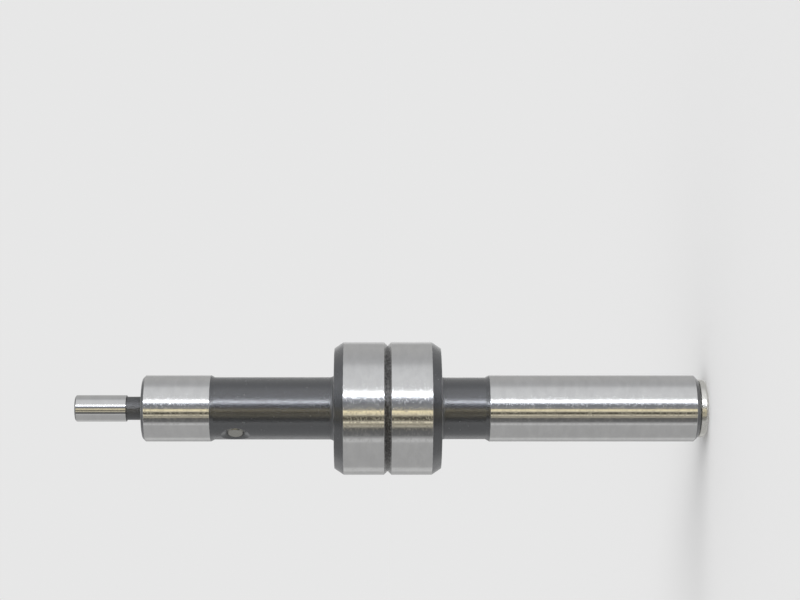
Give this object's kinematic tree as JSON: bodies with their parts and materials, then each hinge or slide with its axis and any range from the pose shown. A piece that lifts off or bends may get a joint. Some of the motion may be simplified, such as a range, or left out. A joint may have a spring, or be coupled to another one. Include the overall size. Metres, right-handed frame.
{
  "type": "edge finder",
  "caption": "Mechanical edge finder: ground straight shank, split ring with a sprung sliding probe, and a stepped probe end with a slim stylus.",
  "frame": {"origin": "centre of the end plug's outer face, which the tool stands on", "axes": "+Z along the tool's axis from the plug to the stylus, Y along the cross pin"},
  "size_m": [0.02, 0.02, 0.0948],
  "materials": {
    "shank_steel": "hardened and ground, with black oxide on the neck, chamfers and groove",
    "probe_steel": "hardened and ground, with black oxide on the body, neck, chamfers and groove",
    "pin_steel": "plain bright steel",
    "plug_steel": "turned bright steel",
    "spring_wire": "drawn spring wire"
  },
  "bodies": {
    "shank": {"shank": "shank_steel"},
    "plug": {"end_plug": "plug_steel"},
    "spring": {"tension_spring": "spring_wire"},
    "probe": {"probe": "probe_steel", "cross_pin": "pin_steel"}
  },
  "joints": [
    {"name": "plug_swivel", "type": "hinge", "parent": "shank", "child": "plug", "pos_m": [0, 0, 0.0012], "axis": [0, 0, 1], "continuous": true},
    {"name": "offset_x", "type": "slide", "parent": "plug", "child": "spring", "axis": [1, 0, 0], "range_m": [-0.0015, 0.0015], "deforming": ["tension_spring"]},
    {"name": "offset_y", "type": "slide", "parent": "spring", "child": "probe", "axis": [0, 1, 0], "range_m": [-0.0015, 0.0015]}
  ]
}
